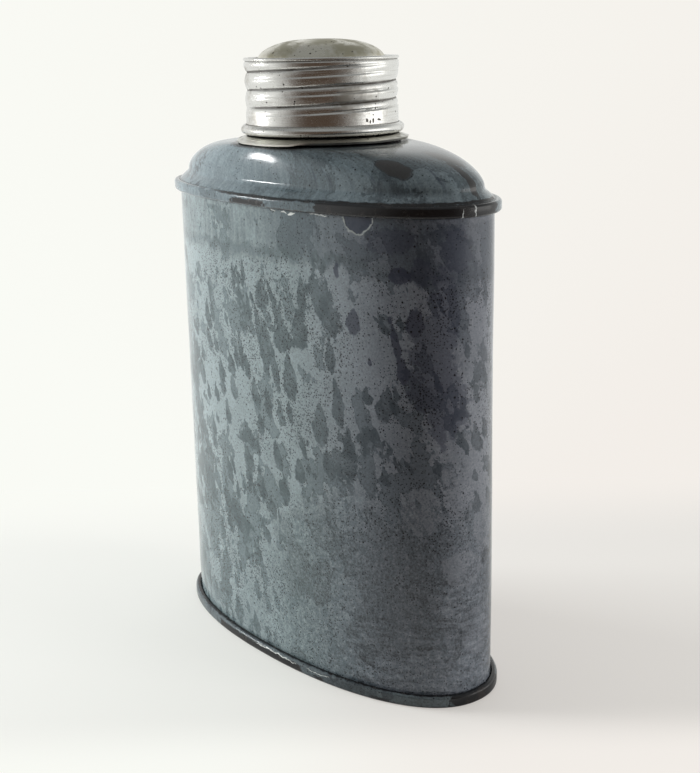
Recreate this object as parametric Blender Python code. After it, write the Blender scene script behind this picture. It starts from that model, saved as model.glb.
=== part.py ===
# Enamelware pocket flask with a screw cap, as separate pressed-metal pieces.
# Metres, +Z up, X along the wide side; the origin is on the floor under the neck.
import math

import bpy

MM = 0.001

# Body, of enamelled sheet steel with an oval plan
BODY_WIDTH = 86.0 * MM       # outside of the wall, across the narrow ends
BODY_DEPTH = 36.0 * MM       # outside of the wall, across the flat sides
OVAL_POWER = 2.2             # exponent of the superellipse that is the plan
BODY_HEIGHT = 96.9 * MM      # from the floor to the top of the upper seam
STEEL = 0.55 * MM            # sheet with its enamel
LAP_WIDTH = 7.0 * MM         # where the wall's two edges lie over each other
LAP_MARGIN = 4.0 * MM        # from each seam to the lap's end

# Seams that hook the shoulder and the base round the wall's turned edges
FIT_GAP = 0.3 * MM           # between sheets that lie on each other
FLANGE = 0.45 * MM           # how far the wall's edges are turned out
FOLD_RADIUS = 0.3 * MM       # inside of the wall's turned edges
HOOK_RADIUS = 0.65 * MM      # outside of the hooked edges

# Shoulder
SHOULDER_RISE = 9.0 * MM     # from the top of the upper seam to the land round the neck
FOOT_INSET = 1.9 * MM        # from the wall's outside in to the foot of the dome
FLARE_RISE = 1.1 * MM        # height of the flare between the seam and the foot
FLARE_RADIUS = 1.2 * MM      # fillet between the flare and the dome
LAND = 2.5 * MM              # level ring between the neck and the dome
DOME_SPREAD_POWER = 2.46     # how long the dome stays level before it falls
DOME_DROP_POWER = 1.6        # how round it turns down

# Base
BASE_RECESS = 1.9 * MM       # from the floor up to the underside of the base panel
BASE_RING = 2.6 * MM         # from the wall's outside in to the recess
RECESS_RADIUS = 0.7 * MM     # bends between the ring, the recess and the panel

# Neck, and the threaded collar round it
NECK_RADIUS = 12.9 * MM      # outside of the shoulder's upturned neck
NECK_HEIGHT = 8.0 * MM       # above the land
NECK_FILLET = 0.6 * MM       # where the neck turns up
COLLAR_SHEET = 0.4 * MM
COLLAR_FLANGE = 3.5 * MM     # how far the flange reaches out from the collar
FLANGE_RISE = 1.0 * MM       # from the flange's edge up to the collar
COLLAR_BEND = 0.8 * MM       # outside radius of the collar's two bends
MOUTH_LIP = 1.1 * MM         # how far the mouth's edge is turned in
SEAL_WIDTH = 1.7 * MM        # cement ring under the collar's flange
SEAL_EDGE = 0.25 * MM        # its height at its outer edge

# Thread, rolled in the sheet of the collar and of the cap alike
PITCH = 3.4 * MM
THREAD_DEPTH = 0.6 * MM
THREAD_PLAY = 0.4 * MM       # radial room between the collar and the cap
THREAD_START = 200.0         # degrees round from +X where both threads begin
RUN_OUT = 0.2                # turns over which a thread fades in and out
PHASE_SHARES = (0.0, 0.22, 0.42, 0.58, 0.78)
DEPTH_SHARES = (0.0, 0.12, 1.0, 1.0, 0.12)

# Cap
CAP_SHEET = 0.5 * MM
CAP_HEIGHT = 14.6 * MM       # from its lower edge to its lip
CAP_REST_GAP = 0.35 * MM     # between its lower edge and the collar's flange
BEAD_WIDTH = 1.1 * MM        # how far the bead at the skirt stands out
BEAD_HEIGHT = 1.9 * MM
SKIRT = 1.1 * MM             # plain wall between the bead and the thread
LIP_WIDTH = 0.2 * MM         # how far the lip stands out
LIP_RADIUS = 0.6 * MM
CROWN_RING = 2.2 * MM        # level ring between the lip and the dome
CROWN_SHEET = 0.45 * MM
CROWN_RISE = 3.4 * MM        # from the lip to the top of the dome
LINER_THICKNESS = 2.3 * MM
LINER_BEVEL = 0.25 * MM

# Facets
OVAL_COLUMNS = 48
ROUND_COLUMNS = 36
TIP_CROWDING = 0.15          # moves columns from the flat sides to the narrow ends
FOLD_STEPS = 2
DOME_STEPS = 7
CROWN_STEPS = 5
CROWN_TOP_SHARE = 0.08       # radius of the facet that closes the dome's top

# Heights and radii that follow from the sizes above
SEAM_HEIGHT = 3 * STEEL + 2 * FIT_GAP
SEAM_OUT = FLANGE + FIT_GAP + STEEL
SEAM_BOTTOM = BODY_HEIGHT - SEAM_HEIGHT
LAND_Z = BODY_HEIGHT + SHOULDER_RISE
LAND_RADIUS = NECK_RADIUS + LAND

ROOT_RADIUS = NECK_RADIUS + FIT_GAP + COLLAR_SHEET
CREST_RADIUS = ROOT_RADIUS + THREAD_DEPTH
CAP_INSIDE = CREST_RADIUS + THREAD_PLAY
CAP_RADIUS = CAP_INSIDE + CAP_SHEET

FLANGE_RADIUS = ROOT_RADIUS + COLLAR_FLANGE
FLANGE_Z = LAND_Z + FIT_GAP + COLLAR_SHEET
FLANGE_SLOPE = FLANGE_RISE / COLLAR_FLANGE
CAP_BOTTOM = FLANGE_Z + (FLANGE_RADIUS - CAP_RADIUS) * FLANGE_SLOPE + CAP_REST_GAP
CAP_TOP = CAP_BOTTOM + CAP_HEIGHT
CROWN_BRIM_Z = CAP_TOP - CAP_SHEET - FIT_GAP
CROWN_RADIUS = CAP_RADIUS - CROWN_RING
LINER_TOP = CROWN_BRIM_Z - CROWN_SHEET - FIT_GAP
LINER_RADIUS = CAP_INSIDE - THREAD_DEPTH - THREAD_PLAY
MOUTH_Z = LINER_TOP - LINER_THICKNESS - FIT_GAP

CAP_THREAD_BOTTOM = CAP_BOTTOM + BEAD_HEIGHT + SKIRT
CAP_THREAD_TOP = CAP_TOP - 2 * LIP_RADIUS
COLLAR_THREAD_BOTTOM = CAP_THREAD_BOTTOM - PITCH / 2
COLLAR_THREAD_TOP = MOUTH_Z - COLLAR_BEND


def clear_scene():
    for thing in list(bpy.data.objects):
        bpy.data.objects.remove(thing, do_unlink=True)


def material(name, color, roughness, metallic):
    made = bpy.data.materials.new(name)
    made.use_nodes = True
    shader = made.node_tree.nodes["Principled BSDF"]
    shader.inputs["Base Color"].default_value = (*color, 1.0)
    shader.inputs["Roughness"].default_value = roughness
    shader.inputs["Metallic"].default_value = metallic
    made.diffuse_color = (*color, 1.0)
    return made


def smooth(share):
    share = min(max(share, 0.0), 1.0)
    return share * share * (3 - 2 * share)


# Outlines, as lists of (x, y) that run round from +X towards +Y

def oval_angle(column):
    even = 2 * math.pi * column / OVAL_COLUMNS
    return even - TIP_CROWDING * math.sin(2 * even)


def oval_point(angle, offset):
    """Point of the body's plan, moved out from the wall's outside by offset."""
    half_width, half_depth = BODY_WIDTH / 2, BODY_DEPTH / 2
    across, along = math.cos(angle), math.sin(angle)
    x = half_width * math.copysign(abs(across) ** (2 / OVAL_POWER), across)
    y = half_depth * math.copysign(abs(along) ** (2 / OVAL_POWER), along)
    normal_x = math.copysign(abs(x / half_width) ** (OVAL_POWER - 1), x) / half_width
    normal_y = math.copysign(abs(y / half_depth) ** (OVAL_POWER - 1), y) / half_depth
    length = math.hypot(normal_x, normal_y)
    return x + offset * normal_x / length, y + offset * normal_y / length


def oval_outline(offset):
    return [oval_point(oval_angle(column), offset) for column in range(OVAL_COLUMNS)]


def neck_outline(radius):
    """Circle with the oval's columns, so that the two can be lofted."""
    angles = [oval_angle(column) for column in range(OVAL_COLUMNS)]
    return [(radius * math.cos(angle), radius * math.sin(angle)) for angle in angles]


def round_outline(radius):
    turns = [THREAD_START / 360 + column / ROUND_COLUMNS for column in range(ROUND_COLUMNS)]
    angles = [2 * math.pi * turn for turn in turns]
    return [(radius * math.cos(angle), radius * math.sin(angle)) for angle in angles]


def loft_outline(inner, outer, share):
    return [(a[0] + (b[0] - a[0]) * share, a[1] + (b[1] - a[1]) * share) for a, b in zip(inner, outer)]


def ring(outline, z):
    return [(x, y, z) for x, y in outline]


def arc(center, radius, start, end, steps):
    """Points (out, z) on an arc from start to end, in degrees up from the outward direction."""
    angles = [math.radians(start + (end - start) * step / steps) for step in range(steps + 1)]
    return [(center[0] + radius * math.cos(angle), center[1] + radius * math.sin(angle)) for angle in angles]


# Sheets are drawn as their visible side and then given their thickness

def finish_object(name, points, faces, finish):
    mesh = bpy.data.meshes.new(name)
    mesh.from_pydata(points, [], faces)
    mesh.materials.append(finish)
    mesh.shade_smooth()
    mesh.set_sharp_from_angle(angle=math.radians(35))
    made = bpy.data.objects.new(name, mesh)
    bpy.context.scene.collection.objects.link(made)
    return made


def thicken(sheet, thickness):
    solidify = sheet.modifiers.new("sheet thickness", "SOLIDIFY")
    solidify.thickness = thickness
    solidify.offset = -1
    solidify.use_even_offset = True
    solidify.use_rim = True
    return solidify


def band_faces(lower, upper):
    """Quads between two rings of vertex numbers."""
    count = len(lower)
    return [
        (lower[j], lower[(j + 1) % count], upper[(j + 1) % count], upper[j])
        for j in range(count)
    ]


def pressed_sheet(name, rings, thickness, finish, close_first=False, close_last=False):
    """Sheet through rings that run from its lower, outer edge to its upper, inner one."""
    points = []
    faces = []
    rows = []
    for one in rings:
        rows.append(list(range(len(points), len(points) + len(one))))
        points.extend(one)
    for lower, upper in zip(rows, rows[1:]):
        faces.extend(band_faces(lower, upper))
    if close_first:
        faces.append(tuple(reversed(rows[0])))
    if close_last:
        faces.append(tuple(rows[-1]))
    made = finish_object(name, points, faces, finish)
    thicken(made, thickness)
    return made


def turned_ring(name, profile, finish):
    """Solid ring of revolution from a closed (radius, z) profile that runs anticlockwise."""
    points = []
    faces = []
    rows = []
    for radius, z in profile:
        rows.append(list(range(len(points), len(points) + ROUND_COLUMNS)))
        points.extend(ring(round_outline(radius), z))
    for lower, upper in zip(rows, rows[1:] + rows[:1]):
        faces.extend(band_faces(lower, upper))
    return finish_object(name, points, faces, finish)


def rolled_thread(points, radius, bottom, room, side):
    """Helical strip of a rolled thread. Adds its points and gives its faces and its two edges.

    The strip's strands climb one pitch a turn. Strand 0 of each turn is plain wall, so that the
    strip meets the level rings below and above it on plain wall. side is 1 for a ridge that
    stands out and -1 for a groove that is pressed in.
    """
    strands = len(PHASE_SHARES)
    steps = max(1, math.floor((room / PITCH - 1) * ROUND_COLUMNS))
    turns = steps / ROUND_COLUMNS
    numbers = {}

    def vertex(step, strand):
        if strand == strands:
            step, strand = step + ROUND_COLUMNS, 0
        if (step, strand) not in numbers:
            turn = step / ROUND_COLUMNS
            fade = smooth(turn / RUN_OUT) * smooth((turns - turn) / RUN_OUT)
            reach = radius + side * THREAD_DEPTH * DEPTH_SHARES[strand] * fade
            x, y = round_outline(reach)[step % ROUND_COLUMNS]
            numbers[(step, strand)] = len(points)
            points.append((x, y, bottom + PITCH * (turn + PHASE_SHARES[strand])))
        return numbers[(step, strand)]

    faces = []
    for step in range(steps):
        for strand in range(strands):
            left = (vertex(step, strand), vertex(step + 1, strand))
            faces.append((*left, vertex(step + 1, strand + 1), vertex(step, strand + 1)))
    lower_edge = [vertex(step, 0) for step in range(ROUND_COLUMNS)]
    upper_edge = [vertex(steps + step, 0) for step in range(ROUND_COLUMNS + 1)]
    start = [vertex(0, strand) for strand in range(1, strands + 1)]
    end = [vertex(steps, strand) for strand in range(1, strands + 1)]
    return faces, lower_edge, start, upper_edge, end, steps % ROUND_COLUMNS


def threaded_sheet(name, below, thread, above, thickness, finish):
    """Sheet of revolution with a rolled thread between two stacks of (radius, z) rows."""
    points = []
    faces = []
    rows = {"below": [], "above": []}
    for stack, profile in (("below", below), ("above", above)):
        for radius, z in profile:
            rows[stack].append(list(range(len(points), len(points) + ROUND_COLUMNS)))
            points.extend(ring(round_outline(radius), z))
        for lower, upper in zip(rows[stack], rows[stack][1:]):
            faces.extend(band_faces(lower, upper))

    strip, lower_edge, start, upper_edge, end, first = rolled_thread(points, *thread)
    faces.extend(strip)
    last_below = rows["below"][-1]
    for j in range(ROUND_COLUMNS - 1):
        faces.append((last_below[j], last_below[j + 1], lower_edge[j + 1], lower_edge[j]))
    faces.append((last_below[-1], last_below[0], lower_edge[0], *start, lower_edge[-1]))
    first_above = rows["above"][0]
    for j in range(1, ROUND_COLUMNS):
        left, right = first_above[(first + j) % ROUND_COLUMNS], first_above[(first + j + 1) % ROUND_COLUMNS]
        faces.append((upper_edge[j], upper_edge[j + 1], right, left))
    left, right = first_above[first], first_above[(first + 1) % ROUND_COLUMNS]
    faces.append((upper_edge[0], upper_edge[1], right, left, *reversed(end)))
    made = finish_object(name, points, faces, finish)
    thicken(made, thickness)
    return made


# Pieces of the body

def body_wall(finish):
    """Oval tube whose two edges are turned out, with its own edges lapped at one narrow end."""
    low = STEEL + FIT_GAP + STEEL
    high = SEAM_BOTTOM + STEEL + FIT_GAP
    profile = [(FLANGE, low)]
    profile += arc((FOLD_RADIUS, low + FOLD_RADIUS), FOLD_RADIUS, 270, 180, FOLD_STEPS)
    profile += [(0.0, SEAM_HEIGHT + LAP_MARGIN), (0.0, SEAM_BOTTOM - LAP_MARGIN)]
    profile += arc((FOLD_RADIUS, high - FOLD_RADIUS), FOLD_RADIUS, 180, 90, FOLD_STEPS)
    profile += [(FLANGE, high)]
    rings = [ring(oval_outline(out), z) for out, z in profile]
    wall = pressed_sheet("body_wall", rings, 2 * STEEL, finish)

    # The sheet is single but for the lap, where the thickness modifier has its full effect
    lap = wall.vertex_groups.new(name="lap")
    for point in wall.data.vertices:
        x, y, z = point.co
        doubled = x < 0 and abs(y) < LAP_WIDTH / 2 and SEAM_HEIGHT < z < SEAM_BOTTOM
        lap.add([point.index], 1.0 if doubled else 0.5, "REPLACE")
    wall.modifiers["sheet thickness"].vertex_group = lap.name
    return wall


def shoulder(finish):
    """Pressed dome, hooked round the wall's upper edge and turned up to a short neck."""
    edge = SEAM_OUT - HOOK_RADIUS
    profile = [(FIT_GAP, SEAM_BOTTOM)]
    profile += arc((edge, SEAM_BOTTOM + HOOK_RADIUS), HOOK_RADIUS, -90, 0, FOLD_STEPS)
    profile += arc((edge, BODY_HEIGHT - HOOK_RADIUS), HOOK_RADIUS, 0, 90, FOLD_STEPS)
    slope = math.degrees(math.atan2(FLARE_RISE, edge + FOOT_INSET))
    foot_z = BODY_HEIGHT + FLARE_RISE
    flare_center = (-FOOT_INSET + FLARE_RADIUS, foot_z + FLARE_RADIUS)
    profile += arc(flare_center, FLARE_RADIUS, 270 - slope, 180, FOLD_STEPS)
    rings = [ring(oval_outline(out), z) for out, z in profile]

    foot = oval_outline(-FOOT_INSET)
    land = neck_outline(LAND_RADIUS)
    bottom = flare_center[1]
    for step in range(1, DOME_STEPS + 1):
        angle = math.pi / 2 * step / DOME_STEPS
        spread = math.cos(angle) ** (2 / DOME_SPREAD_POWER)
        rise = math.sin(angle) ** (2 / DOME_DROP_POWER)
        rings.append(ring(loft_outline(land, foot, spread), bottom + (LAND_Z - bottom) * rise))

    turn = (NECK_RADIUS + NECK_FILLET, LAND_Z + NECK_FILLET)
    neck = arc(turn, NECK_FILLET, 270, 180, FOLD_STEPS) + [(NECK_RADIUS, LAND_Z + NECK_HEIGHT)]
    rings += [ring(neck_outline(radius), z) for radius, z in neck]
    return pressed_sheet("shoulder", rings, STEEL, finish)


def base_pan(finish):
    """Recessed bottom, hooked round the wall's lower edge; the flask stands on its ring."""
    edge = SEAM_OUT - HOOK_RADIUS
    inner = -BASE_RING
    panel_turn = (inner - RECESS_RADIUS, BASE_RECESS - RECESS_RADIUS)
    ring_turn = (inner + RECESS_RADIUS, RECESS_RADIUS)
    profile = arc(panel_turn, RECESS_RADIUS, 90, 0, FOLD_STEPS)
    profile += arc(ring_turn, RECESS_RADIUS, 180, 270, FOLD_STEPS)
    profile += arc((edge, HOOK_RADIUS), HOOK_RADIUS, -90, 0, FOLD_STEPS)
    profile += arc((edge, SEAM_HEIGHT - HOOK_RADIUS), HOOK_RADIUS, 0, 90, FOLD_STEPS)
    profile += [(FIT_GAP, SEAM_HEIGHT)]
    rings = [ring(oval_outline(out), z) for out, z in profile]
    return pressed_sheet("base_pan", rings, STEEL, finish, close_first=True)


def neck_collar(finish):
    """Threaded collar round the neck, with a flange on the shoulder and a turned-in mouth."""
    foot_z = FLANGE_Z + FLANGE_RISE
    bend = (ROOT_RADIUS + COLLAR_BEND, foot_z + COLLAR_BEND)
    slope = math.degrees(math.atan(FLANGE_SLOPE))
    below = [(FLANGE_RADIUS, FLANGE_Z)]
    below += arc(bend, COLLAR_BEND, 270 - slope, 180, FOLD_STEPS)
    mouth = (ROOT_RADIUS - COLLAR_BEND, MOUTH_Z - COLLAR_BEND)
    above = arc(mouth, COLLAR_BEND, 0, 90, FOLD_STEPS)
    above += [(ROOT_RADIUS - MOUTH_LIP, MOUTH_Z)]
    thread = (ROOT_RADIUS, COLLAR_THREAD_BOTTOM, COLLAR_THREAD_TOP - COLLAR_THREAD_BOTTOM, 1)
    return threaded_sheet("neck_collar", below, thread, above, COLLAR_SHEET, finish)


def collar_seal(finish):
    """Ring of cement that fills the wedge between the collar's flange and the land."""
    bottom = LAND_Z + FIT_GAP
    inner = ROOT_RADIUS + FIT_GAP
    outer = inner + SEAL_WIDTH
    edge_z = bottom + SEAL_EDGE
    inner_z = edge_z + SEAL_WIDTH * FLANGE_SLOPE
    profile = [(inner, bottom), (outer, bottom), (outer, edge_z), (inner, inner_z)]
    return turned_ring("collar_seal", profile, finish)


# Pieces of the cap

def cap_band(finish):
    """Threaded band with a bead round its skirt and a level ring that holds the crown."""
    bead = (CAP_RADIUS, CAP_BOTTOM + BEAD_HEIGHT / 2)
    below = []
    for out, z in arc((0.0, 0.0), 1.0, -80, 90, 3 * FOLD_STEPS):
        below.append((bead[0] + BEAD_WIDTH * out, bead[1] + BEAD_HEIGHT / 2 * z))
    lip = (CAP_RADIUS + LIP_WIDTH - LIP_RADIUS, CAP_TOP - LIP_RADIUS)
    above = arc(lip, LIP_RADIUS, 0, 90, FOLD_STEPS)
    above += [(CROWN_RADIUS, CAP_TOP)]
    thread = (CAP_RADIUS, CAP_THREAD_BOTTOM, CAP_THREAD_TOP - CAP_THREAD_BOTTOM, -1)
    return threaded_sheet("cap_band", below, thread, above, CAP_SHEET, finish)


def cap_crown(finish):
    """Domed disc whose brim is held under the band's level ring."""
    brim = CAP_INSIDE - FIT_GAP
    foot = CROWN_RADIUS - FIT_GAP
    rise = CAP_TOP + CROWN_RISE - CROWN_BRIM_Z
    rings = [ring(round_outline(brim), CROWN_BRIM_Z)]
    for step in range(CROWN_STEPS + 1):
        angle = math.acos(CROWN_TOP_SHARE) * step / CROWN_STEPS
        rings.append(ring(round_outline(foot * math.cos(angle)), CROWN_BRIM_Z + rise * math.sin(angle)))
    return pressed_sheet("cap_crown", rings, CROWN_SHEET, finish, close_last=True)


def cork_liner(finish):
    """Cork disc that seals the mouth."""
    bottom = LINER_TOP - LINER_THICKNESS
    profile = [
        (LINER_RADIUS - LINER_BEVEL, bottom),
        (LINER_RADIUS, bottom + LINER_BEVEL),
        (LINER_RADIUS, LINER_TOP - LINER_BEVEL),
        (LINER_RADIUS - LINER_BEVEL, LINER_TOP),
    ]
    points = []
    faces = []
    rows = []
    for radius, z in profile:
        rows.append(list(range(len(points), len(points) + ROUND_COLUMNS)))
        points.extend(ring(round_outline(radius), z))
    for lower, upper in zip(rows, rows[1:]):
        faces.extend(band_faces(lower, upper))
    faces.append(tuple(reversed(rows[0])))
    faces.append(tuple(rows[-1]))
    return finish_object("cork_liner", points, faces, finish)


def build():
    clear_scene()
    enamel = material("blue_grey_enamel", (0.13, 0.17, 0.20), 0.22, 0.0)
    bright = material("bright_white_metal", (0.62, 0.61, 0.58), 0.32, 1.0)
    dull = material("dull_olive_metal", (0.30, 0.30, 0.23), 0.55, 0.8)
    cement = material("dark_cement", (0.05, 0.04, 0.035), 0.8, 0.0)
    cork = material("cork", (0.45, 0.28, 0.15), 0.9, 0.0)
    body_wall(enamel)
    shoulder(enamel)
    base_pan(enamel)
    neck_collar(bright)
    collar_seal(cement)
    cap_band(bright)
    cap_crown(dull)
    cork_liner(cork)


build()
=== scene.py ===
import math

import bpy
from mathutils import Matrix, Vector


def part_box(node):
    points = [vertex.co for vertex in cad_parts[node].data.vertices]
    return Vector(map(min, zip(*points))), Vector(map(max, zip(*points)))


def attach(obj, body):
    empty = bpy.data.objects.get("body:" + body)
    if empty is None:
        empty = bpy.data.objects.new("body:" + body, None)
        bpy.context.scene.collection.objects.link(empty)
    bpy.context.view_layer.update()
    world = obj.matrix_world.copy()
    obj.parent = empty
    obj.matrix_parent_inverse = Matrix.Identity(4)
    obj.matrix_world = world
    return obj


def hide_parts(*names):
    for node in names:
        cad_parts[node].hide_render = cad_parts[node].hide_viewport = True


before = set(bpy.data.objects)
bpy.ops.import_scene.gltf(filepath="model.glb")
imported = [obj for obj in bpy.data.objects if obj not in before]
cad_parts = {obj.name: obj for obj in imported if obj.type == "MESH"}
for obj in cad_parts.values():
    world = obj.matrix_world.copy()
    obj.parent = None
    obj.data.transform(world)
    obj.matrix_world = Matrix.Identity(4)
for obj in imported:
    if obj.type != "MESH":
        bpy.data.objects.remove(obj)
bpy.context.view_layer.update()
mm = 0.001
print("frame loaded with", len(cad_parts), "nodes")


# a Wire is one output of a node, and sums written with wires become Math nodes in its tree

def operators(operation):
    return (lambda first, second: maths(operation, first, second),
            lambda second, first: maths(operation, first, second))


class Wire:
    def __init__(self, socket):
        self.socket = socket
        self.tree = socket.id_data

    __add__, __radd__ = operators("ADD")
    __sub__, __rsub__ = operators("SUBTRACT")
    __mul__, __rmul__ = operators("MULTIPLY")
    __truediv__, __rtruediv__ = operators("DIVIDE")
    __pow__, __rpow__ = operators("POWER")

    def __neg__(self):
        return self * -1.0

    def __abs__(self):
        return maths("ABSOLUTE", self)


class Outputs:
    def __init__(self, node):
        self.sockets = node.outputs

    def __getitem__(self, key):
        return Wire(self.sockets[key])


def feed(sockets, values):
    for key, value in values.items():
        if isinstance(value, Wire):
            value.tree.links.new(value.socket, sockets[key])
        else:
            sockets[key].default_value = value


def addNode(kind, inputs=None, tree=None, **settings):
    inputs = inputs or {}
    if tree is None:
        tree = next(value.tree for value in inputs.values() if isinstance(value, Wire))
    made = tree.nodes.new(kind)
    for name, value in settings.items():
        setattr(made, name, value)
    feed(made.inputs, inputs)
    return Outputs(made)


def maths(operation, *values):
    return addNode("ShaderNodeMath", dict(enumerate(values)), operation=operation)[0]


def vectorMaths(operation, *values):
    keys = (0, "Scale") if operation == "SCALE" else (0, 1)
    made = addNode("ShaderNodeVectorMath", dict(zip(keys, values)), operation=operation)
    return made["Value" if operation in ("LENGTH", "DOT_PRODUCT") else "Vector"]


def largest(*values):
    total = values[0]
    for value in values[1:]:
        total = maths("MAXIMUM", total, value)
    return total


def remap(value, low, high, toLow=0.0, toHigh=1.0):
    inputs = dict(enumerate((value, low, high, toLow, toHigh)))
    return addNode("ShaderNodeMapRange", inputs, interpolation_type="SMOOTHSTEP")[0]


def within(value, low, high, soft):
    return remap(value, low - soft, low + soft) * remap(value, high + soft, high - soft)


def levelAlong(across, points):
    level = points[0][1]
    for (start, low), (end, high) in zip(points, points[1:]):
        level = remap(across, start, end, 0.0, high - low) + level
    return level


def split(vector):
    made = addNode("ShaderNodeSeparateXYZ", {0: vector})
    return made[0], made[1], made[2]


def joined(x, y, z):
    return addNode("ShaderNodeCombineXYZ", {0: x, 1: y, 2: z})[0]


def scaled(vector, x, y, z):
    return vectorMaths("MULTIPLY", vector, (x, y, z))


def inMm(surface):
    across, up, _ = split(vectorMaths("SCALE", surface, 1 / mm))
    return across, up


def noise(vector, scale, detail=2.0, roughness=0.5, distortion=0.0):
    return addNode("ShaderNodeTexNoise", {
        "Vector": vector, "Scale": scale, "Detail": detail, "Roughness": roughness,
        "Distortion": distortion})[0]


def warped(vector, scale, reach):
    made = addNode("ShaderNodeTexNoise", {"Vector": vector, "Scale": scale, "Detail": 3.0, "Roughness": 0.6})
    off = vectorMaths("SUBTRACT", made["Color"], (0.5, 0.5, 0.5))
    return vectorMaths("ADD", vector, vectorMaths("SCALE", off, reach))


def blend(factor, first, second, mode="MIX"):
    return addNode("ShaderNodeMix", {0: factor, 6: first, 7: second}, data_type="RGBA", blend_type=mode)[2]


def useGroup(group, inputs):
    return addNode("ShaderNodeGroup", inputs, node_tree=group)


socketKinds = {float: "Float", int: "Int", tuple: "Color"}


# an input is given by its default, or by the kind of its socket where it has none
def newTree(name, kind, inputs, outputs):
    tree = bpy.data.node_groups.new(name, kind)
    for label, value in inputs.items():
        plain = isinstance(value, str)
        socket = "NodeSocket" + (value if plain else socketKinds[type(value)])
        made = tree.interface.new_socket(name=label, in_out="INPUT", socket_type=socket)
        if not plain:
            made.default_value = value
    for label, value in outputs.items():
        tree.interface.new_socket(name=label, in_out="OUTPUT", socket_type="NodeSocket" + value)
    return tree, Outputs(tree.nodes.new("NodeGroupInput")), tree.nodes.new("NodeGroupOutput").inputs


def newShape(name, inputs):
    return newTree(name, "GeometryNodeTree", {**inputs, "Material": "Material"}, {"Sheet": "Geometry"})


def newEffect(name, inputs, outputs):
    return newTree(name, "ShaderNodeTree", inputs, outputs)


def closeShape(given, result, geometry, shift=None):
    if shift:
        geometry = addNode("GeometryNodeSetPosition", {"Geometry": geometry, "Offset": shift})[0]
    painted = addNode("GeometryNodeSetMaterial", {"Geometry": geometry, "Material": given["Material"]})[0]
    feed(result, {0: addNode("GeometryNodeRealizeInstances", {"Geometry": painted})[0]})


# geometry tree 1: sweeps a pressed profile round the oval plan, and turns it round where it says so

profileUnits = dict(out=mm, height=mm, roundShare=1.0, roundRadius=mm, along=mm)
planPoints = 720
weldDistance = 0.002


def signedPower(value, power):
    return maths("SIGN", value) * abs(value) ** power


def makeSweepTree():
    tree, given, result = newShape("sheetSweep", {
        "Profile": "Geometry", "Columns": 96, "Half Width": 0.04, "Half Depth": 0.02, "Oval Power": 2.0})
    profile, halfWidth, halfDepth = given["Profile"], given["Half Width"], given["Half Depth"]
    x, y, _ = split(addNode("GeometryNodeInputPosition", tree=tree)[0])

    # the plan is a closed curve that starts at the hidden narrow end
    circle = addNode("GeometryNodeCurvePrimitiveCircle", {"Resolution": planPoints, "Radius": 1.0}, tree)[0]
    narrow, wide = 2.0 / given["Oval Power"], given["Oval Power"] / 2.0
    oval = joined(signedPower(x, narrow) * -halfWidth, signedPower(y, narrow) * -halfDepth, 0.0)
    plan = addNode("GeometryNodeSetPosition", {"Geometry": circle, "Position": oval})[0]
    girth = addNode("GeometryNodeCurveLength", {0: plan})[0]

    # a flat grid has one row for each point of the profile
    rows = addNode("GeometryNodeAttributeDomainSize", {0: profile}, component="MESH")["Point Count"]
    grid = addNode("GeometryNodeMeshGrid", {
        "Size X": 1.0, "Size Y": 1.0, "Vertices X": given["Columns"] + 1.0, "Vertices Y": rows})[0]
    share = x + 0.5
    row = maths("ROUND", (y + 0.5) * (rows - 1.0))

    def fromProfile(name):
        value = addNode("GeometryNodeInputNamedAttribute", {"Name": name}, tree, data_type="FLOAT")[0]
        return addNode("GeometryNodeSampleIndex", {"Geometry": profile, "Value": value, "Index": row},
                       data_type="FLOAT", domain="POINT")[0]

    out, height, roundShare, roundRadius, along = map(fromProfile, profileUnits)
    mapped = addNode("GeometryNodeStoreNamedAttribute", {
        "Geometry": grid, "Name": "UVMap", "Value": joined(share * girth, along, 0.0)},
        data_type="FLOAT2", domain="CORNER")[0]

    # each row lies on the plan moved out by its offset, or on a circle
    sample = addNode("GeometryNodeSampleCurve", {"Curves": plan, "Factor": share}, mode="FACTOR")
    planX, planY, _ = split(sample["Position"])
    tangentX, tangentY, _ = split(sample["Tangent"])
    bearing = joined(signedPower(planX / halfWidth, wide), signedPower(planY / halfDepth, wide), 0.0)
    bearingX, bearingY, _ = split(vectorMaths("NORMALIZE", bearing))
    ovalX, ovalY = tangentY * out + planX, -tangentX * out + planY
    spotX = (bearingX * roundRadius - ovalX) * roundShare + ovalX
    spotY = (bearingY * roundRadius - ovalY) * roundShare + ovalY
    moved = addNode("GeometryNodeSetPosition", {
        "Geometry": mapped, "Position": joined(spotX, spotY, height)})[0]
    merged = addNode("GeometryNodeMergeByDistance", {"Geometry": moved, "Distance": weldDistance * mm})[0]
    closeShape(given, result, merged)
    return tree


# geometry tree 2: rolls a helical thread into a turned sheet

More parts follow.
